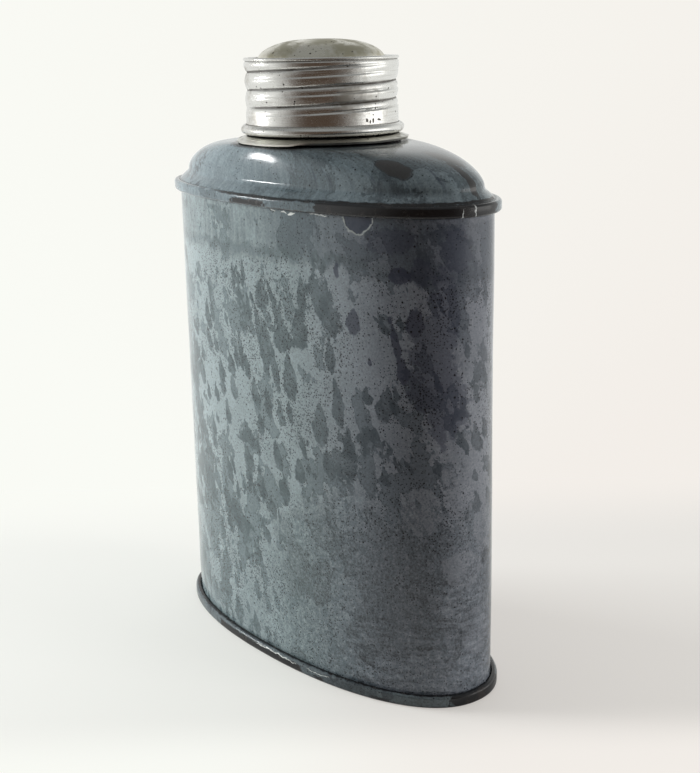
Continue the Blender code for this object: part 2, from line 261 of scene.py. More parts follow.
def makeThreadTree():
    tree, given, result = newShape("rolledThread", {
        "Sheet": "Geometry", "Bottom": 0.0, "Pitch": 0.003, "Turns": 2.0, "Start Turn": 0.0, "Run Out": 0.2,
        "Depth": 0.0, "Crispness": 0.5, "Line Width": 0.1, "Second Depth": 0.0, "Second Phase": 0.0,
        "Second Bearing": 0.0})
    x, y, z = split(addNode("GeometryNodeInputPosition", tree=tree)[0])
    angle = maths("ARCTAN2", y, x)
    turn = maths("FRACT", angle / (2 * math.pi) - given["Start Turn"])
    strand = (z - given["Bottom"]) / given["Pitch"] - turn
    phase = maths("FRACT", strand)
    wound = turn + maths("FLOOR", strand)
    fade = remap(wound, 0.0, given["Run Out"]) * remap(given["Turns"] - wound, 0.0, given["Run Out"])

    def line(center):
        off = phase - center
        off = off - maths("ROUND", off)
        return maths("EXPONENT", -(off / given["Line Width"]) ** 2.0)

    swell = maths("COSINE", phase * (2 * math.pi)) * -0.5 + 0.5
    crispness = given["Crispness"]
    main = (line(0.5) * crispness + swell * (1.0 - crispness)) * given["Depth"]
    facing = maths("COSINE", angle - given["Second Bearing"]) * 0.5 + 0.5
    second = line(given["Second Phase"]) * (given["Second Depth"] * facing)
    pressed = (main + second) * fade
    shift = vectorMaths("SCALE", vectorMaths("NORMALIZE", joined(x, y, 0.0)), pressed)
    kept = addNode("GeometryNodeStoreNamedAttribute", {
        "Geometry": given["Sheet"], "Name": "threadDepth", "Value": abs(pressed)},
        data_type="FLOAT", domain="POINT")[0]
    closeShape(given, result, kept, shift)
    return tree


# geometry tree 3: the small bumps and hollows of handled sheet metal

def makeDentTree():
    tree, given, result = newShape("handledSheet", {
        "Sheet": "Geometry", "Amount": 0.0, "Size": 0.01, "Seed": 0.0, "Low": -1.0, "High": 1.0,
        "Fade": 0.002})
    here = addNode("GeometryNodeInputPosition", tree=tree)[0]
    field = addNode("ShaderNodeTexNoise", {
        "Vector": here, "W": given["Seed"], "Scale": 1.0 / given["Size"], "Detail": 2.0, "Roughness": 0.45},
        noise_dimensions="4D")[0]
    height = split(here)[2]
    above = remap(height, given["Low"], given["Low"] + given["Fade"])
    below = remap(height, given["High"], given["High"] - given["Fade"])
    push = (field - 0.5) * given["Amount"] * (above * below)
    shift = vectorMaths("SCALE", addNode("GeometryNodeInputNormal", tree=tree)[0], push)
    closeShape(given, result, given["Sheet"], shift)
    return tree


# geometry tree 4: bends the edge of the collar's flange down and up

def makeFlangeTree():
    tree, given, result = newShape("bentFlange", {
        "Sheet": "Geometry", "Inner": 0.0, "Outer": 1.0, "Drop": 0.0, "Drop Bearing": 0.0, "Drop Spread": 1.0,
        "Ripple": 0.0, "Ripples Per Metre": 130.0, "Seed": 0.0})
    x, y, _ = split(addNode("GeometryNodeInputPosition", tree=tree)[0])
    lever = remap(maths("SQRT", x ** 2.0 + y ** 2.0), given["Inner"], given["Outer"])
    facing = maths("COSINE", maths("ARCTAN2", y, x) - given["Drop Bearing"])
    edge = maths("COSINE", given["Drop Spread"])
    sagging = remap(facing, edge, edge + 0.09)
    ripple = (noise(joined(x, y, given["Seed"]), given["Ripples Per Metre"], 1.0) - 0.5) * given["Ripple"]
    shift = joined(0.0, 0.0, (ripple - sagging * given["Drop"]) * lever)
    closeShape(given, result, given["Sheet"], shift)
    return tree


sheetSweep = makeSweepTree()
rolledThread = makeThreadTree()
handledSheet = makeDentTree()
bentFlange = makeFlangeTree()
print("geometry trees built")


# profiles are rows of (out, height, share of round, radius), all in mm, from the outer lower edge inwards

def arcPoints(center, radius, start, end, steps):
    angles = [math.radians(start + (end - start) * step / steps) for step in range(steps + 1)]
    return [(center[0] + radius * math.cos(a), center[1] + radius * math.sin(a)) for a in angles]


def ovalRows(points):
    return [(out, height, 0.0, 0.0) for out, height in points]


def roundRows(points):
    return [(0.0, height, 1.0, radius) for radius, height in points]


def reachOf(row, halfWidth):
    return (1 - row[2]) * (halfWidth + row[0]) + row[2] * row[3]


def stepBetween(first, second, halfWidth):
    return math.hypot(reachOf(second, halfWidth) - reachOf(first, halfWidth), second[1] - first[1])


def closeRows(rows, longest, halfWidth):
    finer = [rows[0]]
    for row in rows[1:]:
        last = finer[-1]
        parts = max(1, math.ceil(stepBetween(last, row, halfWidth) / longest - 0.001))
        for part in range(1, parts + 1):
            finer.append(tuple(a + (b - a) * part / parts for a, b in zip(last, row)))
    return finer


def lengthsAlong(rows, halfWidth):
    lengths = [0.0]
    for first, second in zip(rows, rows[1:]):
        lengths.append(lengths[-1] + stepBetween(first, second, halfWidth))
    return lengths


def heightsOf(node):
    return [(corner / mm).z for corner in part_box(node)]


def addStep(piece, tree, values):
    step = piece.modifiers.new(tree.name, "NODES")
    step.node_group = tree
    sockets = {item.name: item.identifier for item in tree.interface.items_tree if item.in_out == "INPUT"}
    for label, value in values.items():
        step[sockets[label]] = value


def dentStep(amount, size, seed, low=-1000.0, high=1000.0, fade=2.0):
    return handledSheet, {"Amount": amount * mm, "Size": size * mm, "Seed": seed, "Low": low * mm,
                          "High": high * mm, "Fade": fade * mm}


sharpAngle = 40


def makePiece(name, node, body, rows, plan, values, finish, steps=()):
    mesh = bpy.data.meshes.new(name)
    mesh.from_pydata([(0.0, 0.0, row[1] * mm) for row in rows], [], [])
    table = zip(*[(*row, length) for row, length in zip(rows, lengthsAlong(rows, plan["halfWidth"]))])
    for (label, unit), column in zip(profileUnits.items(), table):
        stored = mesh.attributes.new(label, "FLOAT", "POINT").data
        stored.foreach_set("value", [value * unit for value in column])
    piece = bpy.data.objects.new(name, mesh)
    bpy.context.scene.collection.objects.link(piece)
    sweep = {"Columns": values["columns"], "Half Width": plan["halfWidth"] * mm,
             "Half Depth": plan["halfDepth"] * mm, "Oval Power": plan["power"]}
    dents = [dentStep(**values["dents"])] if "dents" in values else []
    for tree, inputs in [(sheetSweep, sweep), *steps, *dents]:
        addStep(piece, tree, {**inputs, "Material": finish})
    if "sheet" in values:
        shell = piece.modifiers.new("sheet", "SOLIDIFY")
        shell.thickness = values["sheet"] * mm
        shell.offset = -1
        shell.use_even_offset = True
    graph = bpy.context.evaluated_depsgraph_get()
    shown = bpy.data.meshes.new_from_object(
        piece.evaluated_get(graph), preserve_all_data_layers=True, depsgraph=graph)
    piece.modifiers.clear()
    piece.data = shown
    shown.name = name
    shown.shade_smooth()
    shown.set_sharp_from_angle(angle=math.radians(sharpAngle))
    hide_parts(node)
    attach(piece, body)
    print(piece.name, "stands for", node, "with", len(piece.data.polygons), "faces")


# finish group 1: round specks scattered in cells

def makeSpeckGroup():
    tree, given, result = newEffect("scatteredSpecks", {
        "Vector": "Vector", "Per Metre": 900.0, "Radius": 0.2, "Share": 0.5}, {"Mask": "Float"})
    cells = addNode("ShaderNodeTexVoronoi", {"Vector": given["Vector"], "Scale": given["Per Metre"]})
    pick = addNode("ShaderNodeSeparateColor", {0: cells["Color"]})
    size = given["Radius"] * (pick[0] * 0.9 + 0.35)
    dot = remap(cells["Distance"], size, size * 0.7)
    feed(result, {"Mask": dot * maths("LESS_THAN", pick[1], given["Share"])})
    return tree


# finish group 2: one ragged oval or drop on the piece's own UV map, in mm, for chips, drips and stains

def makeSpotGroup():
    tree, given, result = newEffect("raggedDrop", {
        "Across": 0.0, "Up": 0.0, "Rough Field": 0.5, "Middle Across": 0.0, "Middle Up": 0.0,
        "Half Width": 2.0, "Half Height": 2.0, "Tilt": 0.0, "Taper": 0.0, "Ragged": 0.2, "Softness": 0.1,
    }, {"Mask": "Float", "Outline": "Float"})
    away, over = given["Across"] - given["Middle Across"], given["Up"] - given["Middle Up"]
    cosine, sine = maths("COSINE", given["Tilt"]), maths("SINE", given["Tilt"])
    across = (away * cosine + over * sine) / given["Half Width"]
    up = (over * cosine - away * sine) / given["Half Height"]
    across = across / (1.0 - remap(up, -0.4, 1.1) * given["Taper"])
    far = given["Rough Field"] * given["Ragged"] + maths("SQRT", across * across + up * up)
    soft = given["Softness"]
    outline = remap(abs(far - 1.05), soft * 1.6, 0.0)
    feed(result, {"Mask": remap(far, 1.0 + soft, 1.0 - soft), "Outline": outline})
    return tree


# finish group 3: drops with a pointed top and a round foot, one to a cell, as run enamel leaves them

def makeDropGroup():
    tree, given, result = newEffect("runDrops", {
        "Surface": "Vector", "Cell": 0.004, "Lean": 0.2, "Stretch": 0.5, "Radius": 0.3, "Share": 0.5,
        "Rough Field": 0.5, "Ragged": 0.1}, {"Mask": "Float"})
    density = 1.0 / given["Cell"]
    across, up, _ = split(given["Surface"])
    flat = joined(up * given["Lean"] + across, up * given["Stretch"], 0.0)
    cells = addNode("ShaderNodeTexVoronoi", {"Vector": flat, "Scale": density}, voronoi_dimensions="2D")
    pick = addNode("ShaderNodeSeparateColor", {0: cells["Color"]})
    off = vectorMaths("SCALE", vectorMaths("SUBTRACT", flat, cells["Position"]), density)
    sideways, upwards, _ = split(off)
    radius = given["Radius"] * (pick[0] * 0.8 + 0.45)
    upwards = upwards / radius
    sideways = sideways / radius / remap(upwards, -0.5, 1.1, 1.0, 0.35)
    far = maths("SQRT", sideways ** 2.0 + upwards ** 2.0)
    far = (given["Rough Field"] - 0.5) * given["Ragged"] + far
    feed(result, {"Mask": remap(far, 1.1, 0.9) * maths("LESS_THAN", pick[1], given["Share"])})
    return tree


# finish group 4: the mottled blue-grey enamel; the shares say where it is grained, furred and so on

grain = dict(  # features of each texture to the metre, and the (scale, reach) that bends some of them
    ragged=900.0, finger=380.0, broad=34.0, worn=420.0, fine=2300.0, coarse=1050.0, fur=820.0, ripple=900.0,
    pool=80.0, crowd=90.0, dropBend=(500.0, 0.0022), coarseBend=(700.0, 0.0012), rippleBend=(300.0, 0.0016),
    poolBend=(260.0, 0.004), specks=((1500.0, 0.28), (2700.0, 0.46)),
)


def makeMottleGroup():
    tree, given, result = newEffect("enamelMottle", {
        "Vector": "Vector", "Surface": "Vector", "Patch Size": 0.007, "Lean": 0.22, "Pale Share": 0.5,
        "Drop Share": 0.6, "Grained": 0.0, "Furred": 0.0, "Rippled": 0.0, "Speck Share": 0.4, "Shade": 0.0,
        "Pale Marks": 0.0, "Dark Marks": 0.0, "Navy Marks": 0.0, "Pale": (0.2, 0.23, 0.24, 1),
        "Grey": (0.15, 0.175, 0.18, 1), "Slate": (0.09, 0.12, 0.125, 1), "Navy": (0.04, 0.05, 0.07, 1),
        "Ink": (0.01, 0.011, 0.014, 1), "Tint": (1.0, 0.9, 0.97, 1), "Tint Share": 0.0,
    }, {"Color": "Color", "Height": "Float"})
    place, surface = given["Vector"], given["Surface"]
    x, y, z = split(place)
    slide = z * given["Lean"]
    slid = joined(x + slide, y + slide, z)
    runs = scaled(slid, 1.0, 1.0, 0.66)
    ragged = noise(scaled(place, 1.0, 1.0, 0.8), grain["ragged"], 4.0, 0.7)
    tooth = (ragged - 0.5) * 0.2

    # pale enamel lies over grey in ragged sheets that run down in fingers
    size = 1.0 / given["Patch Size"]
    finger = (noise(scaled(slid, 1.0, 1.0, 0.2), grain["finger"], 2.0) - 0.5) * 0.22
    sheet = noise(runs, size, 5.0, 0.52, 0.2) + tooth + finger
    broad = noise(place, grain["broad"], 2.0)
    edge = (0.5 - broad) * 0.3 + (given["Pale Share"] * -0.3 + 0.65)
    over = sheet - edge
    pale = largest(remap(over, -0.008, 0.008), given["Pale Marks"])
    thick = remap(noise(runs, size * 0.8, 3.0, 0.6), 0.3, 0.62, 0.6, 1.0)
    color = blend(pale * thick, given["Grey"], given["Pale"])
    rim = remap(abs(over + 0.014), 0.022, 0.0)
    color = blend(rim * 0.55, color, given["Slate"])

    # drops and larger dark runs, paler in the middle than at the edge
    drops = useGroup(dropGroup, {
        "Surface": warped(surface, *grain["dropBend"]), "Cell": given["Patch Size"] * 0.58,
        "Lean": given["Lean"], "Stretch": 0.5, "Radius": 0.36, "Share": given["Drop Share"],
        "Rough Field": ragged, "Ragged": 0.9})["Mask"]
    deep = remap(noise(runs, size * 0.7, 4.0, 0.6, 0.4) + tooth, 0.575, 0.6)
    dark = largest(drops, deep) * ((1.0 - given["Grained"]) * 0.8 + 0.2)
    dark = largest(dark, given["Dark Marks"])
    worn = remap(noise(runs, grain["worn"], 3.0, 0.6), 0.35, 0.65, 1.0, 0.7)
    color = blend(dark * worn, color, given["Slate"])

    # fine grain all over, stronger where the enamel is grained, and drawn out where it is furred or rippled
    fine = noise(place, grain["fine"], 3.0, 0.75)
    coarse = noise(warped(place, *grain["coarseBend"]), grain["coarse"], 3.0, 0.72)
    fur = noise(scaled(surface, 1.0, 0.12, 1.0), grain["fur"], 4.0, 0.62)
    ripple = noise(scaled(warped(surface, *grain["rippleBend"]), 0.22, 1.0, 1.0), grain["ripple"], 3.0, 0.6)
    middle = blend(0.58, given["Slate"], given["Grey"])
    grained = blend(remap(coarse, 0.38, 0.66), middle, blend(0.55, given["Grey"], given["Pale"]))
    bare = largest(rim, given["Pale Marks"]) * -0.9 + 0.85
    color = blend(given["Grained"] * bare, color, grained)
    pool = noise(warped(place, *grain["poolBend"]), grain["pool"], 3.0, 0.5)
    pooled = remap(pool, 0.495, 0.515, -0.12, 0.1) - remap(abs(pool - 0.5), 0.018, 0.0, 0.0, 0.16)
    grit = given["Grained"] * (1.0 - given["Pale Marks"])
    shift = (fine - 0.5) * (grit * 0.9 + 1.3)
    shift = pooled * (grit * 0.9 + 0.1) + shift
    shift = (fur - 0.52) * given["Furred"] * 2.2 + shift
    shift = (ripple - 0.5) * given["Rippled"] * 1.9 + shift
    shift = (broad - 0.5) * 0.35 + shift
    # Shade darkens the colour: painted shade given by each zone
    lift = 1.0 + shift - given["Shade"]
    color = blend(1.0, color, joined(lift, lift, lift), "MULTIPLY")
    color = blend(given["Navy Marks"], color, given["Navy"])
    color = blend(given["Tint Share"], color, given["Tint"], "MULTIPLY")

    # specks gather in clouds
    crowd = remap(noise(place, grain["crowd"], 3.0), 0.4, 0.62, 0.2, 1.1) * given["Speck Share"]
    crowd = crowd * (given["Grained"] * -0.45 + 1.0)
    wide, small = (
        useGroup(speckGroup, {"Vector": place, "Per Metre": number, "Radius": radius, "Share": crowd})["Mask"]
        for number, radius in grain["specks"])
    inked = largest(wide, small * 0.8) * (given["Pale Marks"] * -0.7 + 1.0)
    color = blend(inked, color, given["Ink"])
    height = coarse * (given["Grained"] * 0.3 + 0.1) + noise(runs, size, 1.0) * 0.5
    height = ripple * given["Rippled"] * 1.1 + height
    feed(result, {"Color": color, "Height": height})
    return tree


# finish group 5: white metal that has been rubbed, scratched and tarnished

rubbing = dict(  # features of each texture to the metre; a pock has (raggedness, softness)
    cloud=160.0, rings=5200.0, cuts=2600.0, pebbles=2300.0, pits=1000.0, pitRadius=0.22, pocks=2400.0,
    pockShape=(1.2, 0.2), bump=(0.35, 0.08),
)


def makeMetalGroup():
    tree, given, result = newEffect("rubbedMetal", {
        "Vector": "Vector", "Hollow": 0.0, "Bright": (0.75, 0.74, 0.71, 1), "Tarnish": (0.3, 0.28, 0.23, 1),
        "Grime": (0.03, 0.025, 0.018, 1), "Tarnish Share": 0.4, "Scratches": 0.5, "Pits": 0.2, "Gloss": 0.25,
    }, {"Color": "Color", "Roughness": "Float", "Height": "Float", "Metal": "Float"})
    place = given["Vector"]
    cloud = noise(place, rubbing["cloud"], 5.0, 0.6, 0.3)
    rings = noise(scaled(place, 0.02, 0.02, 1.0), rubbing["rings"], 3.0, 0.7)
    cuts = noise(scaled(place, 0.3, 0.3, 1.0), rubbing["cuts"], 4.0, 0.75, 0.6)
    pebbles = noise(place, rubbing["pebbles"], 3.0, 0.7)
    pits = useGroup(speckGroup, {
        "Vector": place, "Per Metre": rubbing["pits"], "Radius": rubbing["pitRadius"],
        "Share": given["Pits"]})["Mask"]
    edge = 0.78 - given["Tarnish Share"] * 0.5
    dull = remap(cloud, edge, edge + 0.16)
    scratch = remap(cuts, 0.56, 0.7) * given["Scratches"]
    streak = remap(rings, 0.52, 0.7) * given["Scratches"]
    soil = maths("MINIMUM", given["Hollow"] * (cloud * 0.9 + 0.45), 1.0)
    darkened = largest(soil, pits)
    color = blend(dull * 0.75, given["Bright"], given["Tarnish"])
    color = blend(largest(scratch, streak) * 0.45, color, given["Tarnish"])
    color = blend(soil, color, given["Grime"])
    color = blend(pits, color, given["Grime"])
    rough = darkened * 0.3 + (scratch * 0.12 + (dull * 0.22 + given["Gloss"]))
    height = pebbles * 0.6 + (rings * 0.25 + cloud * 0.8)
    height = height - scratch * 0.25 - pits * 0.5
    feed(result, {"Color": color, "Roughness": rough, "Height": height, "Metal": 1.0 - darkened * 0.7})
    return tree


speckGroup = makeSpeckGroup()
spotGroup = makeSpotGroup()
dropGroup = makeDropGroup()
mottleGroup = makeMottleGroup()
metalGroup = makeMetalGroup()
print("finish groups built")


def newFinish(name):
    made = bpy.data.materials.new(name)
    made.use_nodes = True
    tree = made.node_tree
    place = addNode("ShaderNodeTexCoord", tree=tree)["Object"]
    surface = addNode("ShaderNodeUVMap", tree=tree, uv_map="UVMap")[0]
    return made, place, surface, tree.nodes["Principled BSDF"].inputs


def addBump(sockets, height, strength, distance):
    bump = addNode("ShaderNodeBump", {"Height": height, "Strength": strength, "Distance": distance * mm})
    feed(sockets, {"Normal": bump[0]})


# enamel of the wall, the shoulder and the base

enamel = dict(
    pale=(0.200, 0.244, 0.253, 1), grey=(0.114, 0.147, 0.155, 1), slate=(0.053, 0.075, 0.081, 1),
    navy=(0.024, 0.031, 0.050, 1), ink=(0.004, 0.005, 0.008, 1), steel=(0.007, 0.007, 0.008, 1),
    rust=(0.014, 0.012, 0.012, 1), tint=(1.0, 0.89, 0.97, 1), patchSize=6.4, lean=0.24, gloss=0.13,
    fieldScale=650.0, bend=(520.0, 0.0016), cloudScale=180.0, rustScale=420.0, bump=(0.5, 0.16),
    burnShape=(0.2, 0.06), flawShape=(0.5, 0.05), sliverShape=(1.2, 0.15),  # raggedness and softness
    burnShare=0.92, burnRim=0.8, flawShare=0.88, flawRim=0.7, flawDepth=0.6,
)

# marks at fixed places: label, group input, strength, taper, softness, raggedness
markKinds = (
    ("stains", "Navy Marks", 0.62, 0.1, 0.2, 1.5), ("drips", "Navy Marks", 0.8, 0.35, 0.12, 0.5),
    ("leaves", "Dark Marks", 1.0, 0.6, 0.08, 0.7), ("plates", "Pale Marks", 0.8, 0.0, 0.05, 0.5),
)


# spots are (across, up, half width, half height, tilt) in mm and degrees
def addSpots(surface, field, spots, ragged, softness, taper=0.0):
    masks, outlines = 0.0, 0.0
    across, up = inMm(surface)
    rough = field - 0.5
    for middleAcross, middleUp, halfWidth, halfHeight, tilt in spots:
        made = useGroup(spotGroup, {
            "Across": across, "Up": up, "Rough Field": rough, "Middle Across": middleAcross,
            "Middle Up": middleUp, "Half Width": halfWidth, "Half Height": halfHeight,
            "Tilt": math.radians(tilt), "Taper": taper, "Ragged": ragged, "Softness": softness})
        masks, outlines = largest(masks, made["Mask"]), largest(outlines, made["Outline"])
    return masks, outlines


def enamelFinish(name, values, zones, wearAndShade=None):
    made, place, surface, sockets = newFinish(name)
    tones = {**enamel, **values.get("tones", {})}
    field = noise(surface, tones["fieldScale"], 3.0, 0.6)
    bent = warped(surface, *tones["bend"])
    marks = zones(place, surface)
    for label, channel, strength, taper, softness, ragged in markKinds:
        if label in values:
            mask = addSpots(bent, field, values[label], ragged, softness, taper)[0] * strength
            marks[channel] = largest(mask, marks[channel]) if channel in marks else mask
    mottle = useGroup(mottleGroup, {
        "Vector": place, "Surface": surface, "Patch Size": tones["patchSize"] * mm, "Lean": tones["lean"],
        **{tone.title(): tones[tone] for tone in ("pale", "grey", "slate", "navy", "ink", "tint")}, **marks})
    color, height = mottle["Color"], mottle["Height"]
    if "burns" in values:
        burn, brink = addSpots(bent, field, values["burns"], *tones["burnShape"])
        color = blend(burn * tones["burnShare"], color, values["burnt"])
        color = blend(brink * tones["burnRim"], color, tones["steel"])
    if "flaws" in values:
        hollow, brink = addSpots(surface, field, values["flaws"], *tones["flawShape"])
        color = blend(hollow * tones["flawShare"], color, tones["navy"])
        color = blend(brink * tones["flawRim"], color, values["flawEdge"])
        height = height - hollow * tones["flawDepth"]
    rough = noise(place, tones["cloudScale"], 3.0) * 0.1 + (tones["gloss"] - 0.05)
    # bare steel and rust where the enamel is worn; on the shoulder the same mask also lays painted shade in
    # the crease and painted shadow under the flange
    if wearAndShade:
        bare = wearAndShade(place, surface)
        rust = remap(noise(place, tones["rustScale"], 4.0, 0.6), 0.5, 0.66)
        color = blend(bare, color, blend(rust, tones["steel"], tones["rust"]))
        rough = bare * (rust * 0.16 + 0.06) + rough
    # slivers: pale chip edges, and on the wall and the base painted highlights as well
    if "slivers" in values:
        sliver, _ = addSpots(bent, field, values["slivers"], *tones["sliverShape"])
        color = blend(sliver, color, values["sliverColor"])
    feed(sockets, {"Base Color": color, "Roughness": rough})
    addBump(sockets, height, *tones["bump"])
    return made


# stretches are (start, end, low, high) in mm on the surface, with edges that wander
def stretchMask(across, up, field, stretches, wander=(5.0, 1.0), soft=(0.3, 0.14)):
    masks = 0.0
    jitter = field - 0.5
    across, up = across + jitter * wander[0], up + jitter * wander[1]
    for start, end, low, high in stretches:
        masks = largest(masks, within(across, start, end, soft[0]) * within(up, low, high, soft[1]))
    return masks


bodyPlan = dict(halfWidth=43.0, halfDepth=18.0, power=2.2)
bodyGirth = 202.5
roundPlan = dict(halfWidth=15.1, halfDepth=15.1, power=2.0)

# body wall: an oval tube with both edges turned out inside the seams; its places are mm on its own surface,
# round from the hidden narrow end and up from the foot. An effect has (start, end), with its two strengths
# after them where they aren't 0 and 1, and a band has (start, end, softness)

wallFoot, wallTop = heightsOf("body_wall")
wall = dict(
    turnOut=0.45, foldRadius=0.3, sheet=0.55, columns=320, rowStep=1.6,
    dents=dict(amount=0.5, size=30, seed=3.0, low=wallFoot + 1.5, high=wallTop - 1.5, fade=8),
    front=(48, 64), tip=(84, 94), lapEdge=7, lapFade=3, grainedTo=22, grainedRise=16, grainedSoft=4,
    waverScale=60.0, waver=34, drops=(84, 64), dipBelow=(-3.4, -1.0), dipAbove=(1.5, -0.4), dipEdge=1.2,
    dipWander=7.0, navyUp=(50, 82, 0.0, 0.4), navyAcross=(60, 84, 0.0, 0.15), brink=(93.0, 93.9, 0.25),
    brinkGap=(58, 50), middleAcross=(58, 82, 6), middleUp=(52, 70), rippledUp=(24, 14),
    rippledAcross=(68, 78), specksUp=(80, 88, 0.82, 0.28), shadeUp=(16, 40, 0.2, 0.06), tintAcross=(58, 88),
    dipLine=[(0, 86), (32, 85.8), (50, 86.3), (62, 86.6), (74, 86.8), (84, 85.3), (96, 84.4), (202, 86)],
    stains=[
        (92.6, 68, 4.4, 9, 10), (90.4, 63, 2.8, 5, 20), (95.4, 60, 4.4, 6, 0), (94.8, 78, 3, 8, 4),
        (90.6, 84.6, 2.2, 2.6, 10), (97, 88.5, 3.4, 4.5, 0), (84.5, 90, 5.5, 2.6, 0),
        (93.4, 56, 1.5, 4.4, 14),
    ],
    drips=[
        (76.9, 74.6, 1.55, 2.7, -3), (89.3, 75.4, 1.9, 2.7, 0), (85.6, 71.5, 0.9, 3.4, 12),
        (86.8, 66.4, 1.3, 2.8, 14), (80.4, 67.6, 0.55, 0.8, 0), (73.4, 84, 0.7, 1.5, 0),
        (84.6, 75.6, 0.6, 0.8, 0), (86.6, 83.9, 2.4, 1.6, 0),
    ],
    leaves=[
        (64.4, 78.2, 1.3, 4.2, 0), (83.2, 59.2, 1.9, 3, 0), (56, 76.5, 0.9, 4.6, 26),
        (52.6, 77, 2.2, 3.2, 0), (63.6, 71.8, 2.4, 4.2, 6), (51, 70.8, 1, 4.4, 12),
        (48, 73.5, 0.9, 3.6, 12), (44.6, 64.5, 1, 4.6, 10), (60.5, 61.8, 2.2, 5, 6),
        (56, 63, 1.1, 5.2, 12), (71.5, 67.5, 1.4, 3.4, 4), (73, 58.5, 1.5, 5, 6),
        (68.5, 53.5, 2.2, 4.4, 2), (75.5, 49, 1.9, 5.4, 4), (36.5, 58.5, 1.6, 2.6, 10),
        (50.5, 50, 1.4, 2.4, 8), (56, 44.5, 1.3, 3.4, 16), (62.5, 43, 1.6, 2.6, 6),
        (46, 41.5, 1.8, 3.4, 24), (88.3, 33, 0.7, 3.4, 0), (58.6, 69.5, 3, 3.2, 0), (53, 66.5, 2, 4, 12),
        (43, 79, 0.7, 3.4, 4), (46.5, 80.5, 0.8, 3, 2),
    ],
    plates=[
        (90.2, 39.4, 4, 4.8, 0), (100, 47, 2.4, 8, 6), (98.5, 27.5, 4.6, 3.6, -14),
        (101.5, 14, 3.4, 5, 10), (96, 44, 1.6, 4.6, 14), (103.5, 36, 3, 6, 0),
    ],
    flaws=[(78.2, 94.2, 2.9, 3.2, 4)], flawEdge=(0.36, 0.38, 0.36, 1),
    # slivers just below the rim: pale chipped enamel edges with painted glints
    slivers=[
        (62.4, 93.6, 1, 0.2, 6), (60.2, 93.8, 0.6, 0.14, 0), (57, 93.9, 0.9, 0.1, 0),
        (69.2, 93.9, 1.9, 0.1, 0),
    ],
    sliverColor=(0.55, 0.57, 0.55, 1),
)


def awayFromLap(across, edge, fade):
    lap = bodyGirth / 2
    return remap(abs(across - lap), lap - edge, lap - edge + fade, 1.0, 0.0)


def wallZones(place, surface):
    across, up = inMm(surface)
    toFront, toTip = remap(across, *wall["front"]), remap(across, *wall["tip"])
    level = noise(place, wall["waverScale"], 4.0, 0.6) * wall["waver"] + (up - wall["waver"] / 2)
    brim, soft = toFront * wall["grainedRise"] + wall["grainedTo"], wall["grainedSoft"]
    grained = remap(level, brim + soft, brim - soft) * (toFront * 0.82 + 0.18)

    # the line that the second dip left, broken and hung with short drips, and the smoother enamel above it
    strands = noise(scaled(surface, 1.0, 0.3, 1.0), 420.0, 4.0, 0.6)
    above = up - ((strands - 0.5) * wall["dipWander"] + levelAlong(across, wall["dipLine"]))
    line = remap(above, *wall["dipBelow"]) * remap(above, *wall["dipAbove"])
    line = line * remap(noise(surface, 160.0, 2.0), 0.36, 0.56, 0.7, 1.0) * (toFront * 0.2 + 0.8)
    over = remap(above, -wall["dipEdge"], wall["dipEdge"])
    overFront = over * toFront
    # navy: blue runs at the tip and above the dip line, and a navy tint across the front that is partly
    # painted shade
    navy = largest(toTip * remap(up, *wall["navyUp"]), overFront * 0.3, remap(across, *wall["navyAcross"]))
    brink = within(up, *wall["brink"]) * largest(remap(across, *wall["brinkGap"]), toTip)

    front = toFront * (toTip * -0.75 + 1.0)
    drops = remap(up, *wall["drops"]) * (front * -0.5 + 0.85)
    middle = within(across, *wall["middleAcross"]) * remap(up, *wall["middleUp"])
    return {
        "Grained": grained,
        "Furred": over * (toFront * -0.4 + 0.6),
        "Rippled": remap(level, *wall["rippledUp"]) * remap(across, *wall["rippledAcross"]),
        "Drop Share": drops * awayFromLap(across, wall["lapEdge"], wall["lapFade"]),
        "Pale Share": middle * 0.2 + (over * 0.2 + (overFront * -0.55 + 0.70)),
        "Speck Share": remap(up, *wall["specksUp"]),
        # darker towards the front and the foot: painted shade
        "Shade": toFront * remap(up, *wall["shadeUp"]),
        "Dark Marks": largest(line, over * (toFront * 0.12 + 0.32)),
        "Navy Marks": navy,
        "Pale Marks": brink,
        "Tint Share": remap(across, *wall["tintAcross"]),
    }


def wallRows(values):
    low, high, out, fold = wallFoot, wallTop, values["turnOut"], values["foldRadius"]
    points = [(out, low)] + arcPoints((fold, low + fold), fold, 270, 180, 5)
    points += arcPoints((fold, high - fold), fold, 180, 90, 5) + [(out, high)]
    return closeRows(ovalRows(points), values["rowStep"], bodyPlan["halfWidth"])


makePiece("flaskWall", "body_wall", "flask", wallRows(wall), bodyPlan, wall,
          enamelFinish("mottledWallEnamel", wall, wallZones))

# shoulder: hooked seam, flare, dome, level land and upturned neck

